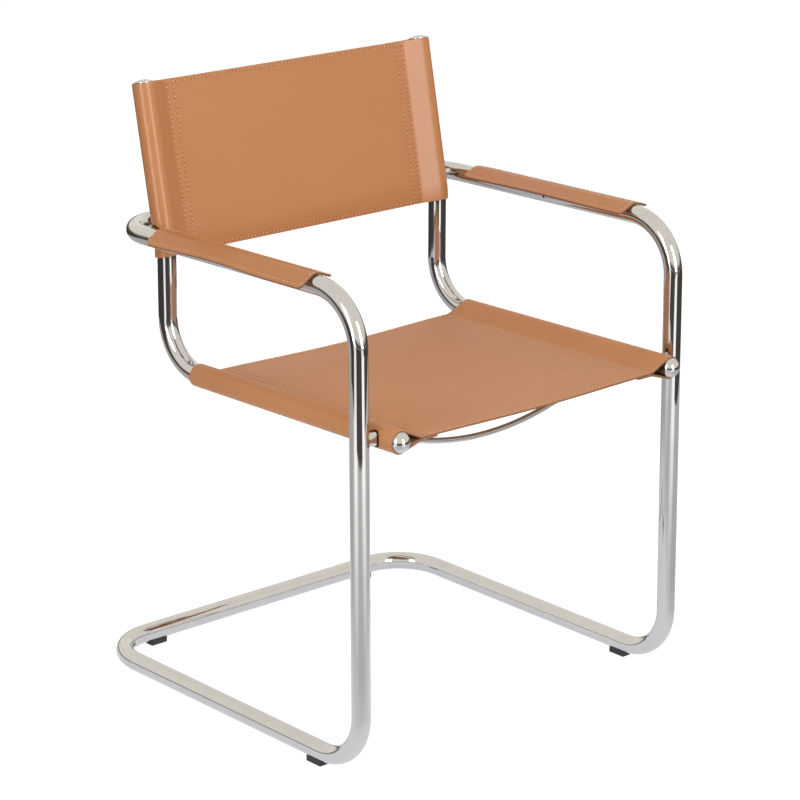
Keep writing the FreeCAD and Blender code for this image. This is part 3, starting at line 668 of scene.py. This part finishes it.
# Camera: where the photograph was taken from, found with the tubes' sizes.
AZIMUTH, ELEVATION, ROLL = (math.radians(a) for a in (-43.355, 17.956, 1.382))
SPOT = (-2.7156, -2.8874, 1.6728)
level_back = Vector((math.sin(AZIMUTH), -math.cos(AZIMUTH), 0))
back_way = level_back * math.cos(ELEVATION) + Vector((0, 0, math.sin(ELEVATION)))
level_right = Vector((math.cos(AZIMUTH), math.sin(AZIMUTH), 0))
level_up = back_way.cross(level_right)
right_way = level_right * math.cos(ROLL) + level_up * math.sin(ROLL)
up_way = level_up * math.cos(ROLL) - level_right * math.sin(ROLL)
camera_data = bpy.data.cameras.new("camera")
camera_data.sensor_width = 36.0
camera_data.lens = 139.35
camera_data.clip_start, camera_data.clip_end = 0.1, 60.0
camera = bpy.data.objects.new("camera", camera_data)
bpy.context.scene.collection.objects.link(camera)
camera.matrix_world = Matrix([*zip(right_way, up_way, back_way, SPOT), (0, 0, 0, 1)])
bpy.context.scene.camera = camera


# Studio: white paper on the floor of a room with a pale ceiling. One tall soft box stands ahead of the
# chair and one to its right, and two soft lamps hang above. The camera sees the paper as white, and
# polished metal sees it as pale paper with painted light, brighter near the chair and towards the boxes.
def camera_sees(tree, plain, shown):
    """Mixes one shader for diffuse rays with another for the camera's, glossy and transmission rays.

    Returns the mixed shader and the mask of glossy rays."""
    ray = tree.nodes.new("ShaderNodeLightPath")
    seen = number(tree, "MAXIMUM", ray.outputs["Is Camera Ray"], ray.outputs["Is Glossy Ray"])
    seen = number(tree, "MAXIMUM", seen, ray.outputs["Is Transmission Ray"])
    choice = tree.nodes.new("ShaderNodeMixShader")
    tree.links.new(seen, choice.inputs[0])
    tree.links.new(plain.outputs[0], choice.inputs[1])
    tree.links.new(shown.outputs[0], choice.inputs[2])
    return choice.outputs[0], ray.outputs["Is Glossy Ray"]


def colour_mix(tree, share, first, second):
    """A colour between two, each a socket or plain numbers."""
    mix = tree.nodes.new("ShaderNodeMix")
    mix.data_type = "RGBA"
    tree.links.new(share, mix.inputs["Factor"])
    for socket, value in ((mix.inputs["A"], first), (mix.inputs["B"], second)):
        if isinstance(value, tuple):
            socket.default_value = (*value, 1)
        else:
            tree.links.new(value, socket)
    return mix.outputs["Result"]


def stage_mesh(name, points, faces, material):
    mesh = bpy.data.meshes.new(name)
    mesh.from_pydata(points, [], faces)
    mesh.materials.append(material)
    thing = bpy.data.objects.new(name, mesh)
    bpy.context.scene.collection.objects.link(thing)
    return thing


# A box's bearing and half angle in degrees as the chair sees it, and its distance.
BOXES = {"front_soft_box": (-91.0, 11.0, 3.0), "side_soft_box": (-167.0, 9.0, 2.1)}
FLOOR_HALF = 9.0
paper = bpy.data.materials.new("floor_paper")
paper.use_nodes = True
tree = paper.node_tree
tree.nodes["Principled BSDF"].inputs["Base Color"].default_value = (0.93, 0.93, 0.93, 1)
tree.nodes["Principled BSDF"].inputs["Roughness"].default_value = 0.9
glow = tree.nodes.new("ShaderNodeEmission")
matt = tree.nodes.new("ShaderNodeBsdfDiffuse")
matt.inputs["Color"].default_value = (0.40, 0.40, 0.40, 1)
white = tree.nodes.new("ShaderNodeAddShader")
tree.links.new(glow.outputs[0], white.inputs[0])
tree.links.new(matt.outputs[0], white.inputs[1])
mixed, glossy = camera_sees(tree, tree.nodes["Principled BSDF"], white)
tree.links.new(mixed, tree.nodes["Material Output"].inputs["Surface"])
place = tree.nodes.new("ShaderNodeTexCoord")
# Painted light, seen only in reflections: the paper glows brighter near the chair and dimmer far off, with painted
# pools of light towards the soft boxes.
painted_glare_pools = 0.0
for middle, half, far in BOXES.values():
    angle = math.radians(middle)
    heading = tree.nodes.new("ShaderNodeVectorMath")
    heading.operation = "NORMALIZE"
    tree.links.new(place.outputs["Object"], heading.inputs[0])
    towards = tree.nodes.new("ShaderNodeVectorMath")
    towards.operation = "DOT_PRODUCT"
    tree.links.new(heading.outputs["Vector"], towards.inputs[0])
    towards.inputs[1].default_value = (math.cos(angle), math.sin(angle), 0)
    painted_glare_spot = tree.nodes.new("ShaderNodeMapRange")
    painted_glare_spot.interpolation_type = "SMOOTHSTEP"
    painted_glare_spot.inputs["From Min"].default_value = math.cos(math.radians(half + 15))
    painted_glare_spot.inputs["From Max"].default_value = math.cos(math.radians(half - 6))
    tree.links.new(towards.outputs["Value"], painted_glare_spot.inputs["Value"])
    painted_glare_pools = number(tree, "ADD", painted_glare_spot.outputs["Result"], painted_glare_pools)
reach = tree.nodes.new("ShaderNodeVectorMath")
reach.operation = "LENGTH"
tree.links.new(place.outputs["Object"], reach.inputs[0])
nearer = tree.nodes.new("ShaderNodeMapRange")
nearer.inputs["From Min"].default_value = 0.55
nearer.inputs["From Max"].default_value = 1.7
tree.links.new(reach.outputs["Value"], nearer.inputs["Value"])
dimmer = tree.nodes.new("ShaderNodeMapRange")
dimmer.inputs["From Min"].default_value = 0.42
dimmer.inputs["From Max"].default_value = 0.80
tree.links.new(reach.outputs["Value"], dimmer.inputs["Value"])
painted_floor_falloff = colour_mix(tree, dimmer.outputs["Result"], (0.68, 0.68, 0.72), (0.33, 0.31, 0.30))
painted_glare_pools = number(tree, "MULTIPLY", painted_glare_pools, nearer.outputs["Result"])
floor_with_painted_light = colour_mix(tree, painted_glare_pools, painted_floor_falloff, (1.15, 1.12, 1.08))
tree.links.new(colour_mix(tree, glossy, (0.87, 0.87, 0.87), floor_with_painted_light), glow.inputs["Color"])
corners = [(FLOOR_HALF * x, FLOOR_HALF * y, 0) for x, y in ((-1, -1), (1, -1), (1, 1), (-1, 1))]
stage_mesh("floor", corners, [(0, 1, 2, 3)], paper)

# Dark carpet beyond the paper, which only reflections see. It is open towards the soft boxes.
CARPET_INNER, CARPET_OUTER, CARPET_LEVEL = 1.85, 8.5, 0.004
carpet = bpy.data.materials.new("dark_carpet")
carpet.use_nodes = True
carpet.node_tree.nodes["Principled BSDF"].inputs["Base Color"].default_value = (0.060, 0.050, 0.047, 1)
carpet.node_tree.nodes["Principled BSDF"].inputs["Roughness"].default_value = 1.0
bearing = np.arange(-180, 180, 2.0)
away = [np.abs((bearing - middle + 180) % 360 - 180) > half for middle, half, far in BOXES.values()]
covered = np.all(away, axis=0)
rim = np.stack([np.cos(np.radians(bearing)), np.sin(np.radians(bearing)), 0 * bearing], 1)
k = np.arange(len(bearing))
after = (k + 1) % len(k)
strips = np.column_stack([k, after, after + len(k), k + len(k)])[covered & covered[after]]
ring = np.vstack([rim * CARPET_INNER, rim * CARPET_OUTER]) + (0, 0, CARPET_LEVEL)
dark = stage_mesh("carpet", ring, strips.tolist(), carpet)
dark.visible_camera = dark.visible_diffuse = dark.visible_shadow = False

# Room: white to the camera. Metal sees a warm ceiling with soft patches, darker towards the horizon.
room = bpy.data.worlds.new("room")
bpy.context.scene.world = room
room.use_nodes = True
tree = room.node_tree
surround = tree.nodes["Background"]
surround.inputs["Color"].default_value = (1, 1, 1, 1)
surround.inputs["Strength"].default_value = 0.35
direction = tree.nodes.new("ShaderNodeTexCoord")
patches = tree.nodes.new("ShaderNodeTexNoise")
patches.inputs["Scale"].default_value = 8.0
patches.inputs["Detail"].default_value = 3.0
tree.links.new(direction.outputs["Generated"], patches.inputs["Vector"])
parts = tree.nodes.new("ShaderNodeSeparateXYZ")
tree.links.new(direction.outputs["Generated"], parts.inputs[0])
height = tree.nodes.new("ShaderNodeMapRange")
height.inputs["From Max"].default_value = 0.14
tree.links.new(parts.outputs["Z"], height.inputs["Value"])
ceiling = colour_mix(tree, patches.outputs["Fac"], (0.72, 0.66, 0.58), (1.38, 1.32, 1.20))
shown = tree.nodes.new("ShaderNodeBackground")
mixed, glossy = camera_sees(tree, surround, shown)
inside = colour_mix(tree, height.outputs["Result"], (0.10, 0.085, 0.085), ceiling)
tree.links.new(colour_mix(tree, glossy, (1.0, 1.0, 1.0), inside), shown.inputs["Color"])
tree.links.new(mixed, tree.nodes["World Output"].inputs["Surface"])


def lamp(name, spot, aim, wide, tall, power, mirrored):
    """A rectangular soft lamp that the camera doesn't see, and polished metal only if mirrored."""
    data = bpy.data.lights.new(name, "AREA")
    data.shape = "RECTANGLE"
    data.size, data.size_y = wide, tall
    data.energy = power
    thing = bpy.data.objects.new(name, data)
    bpy.context.scene.collection.objects.link(thing)
    thing.visible_camera = False
    thing.visible_glossy = mirrored
    thing.location = spot
    thing.rotation_mode = "QUATERNION"
    thing.rotation_quaternion = (Vector(aim) - Vector(spot)).to_track_quat("-Z", "Y")


lamp("key_lamp", (-1.6, -2.2, 3.4), (0, 0, 0.45), 2.4, 2.4, 34.0, False)
lamp("fill_lamp", (2.6, -0.6, 3.0), (0, 0, 0.45), 2.2, 2.2, 28.0, False)
for name, (middle, half, far) in BOXES.items():
    way = Vector((math.cos(math.radians(middle)), math.sin(math.radians(middle)), 0))
    wide = 2 * far * math.tan(math.radians(half))
    raised = Vector((0, 0, 0.45 * far + 0.3))
    lamp(name, way * far + raised, raised, wide, 0.8 * far, 10.2 * wide * far, True)

bpy.context.scene.view_settings.view_transform = "Standard"
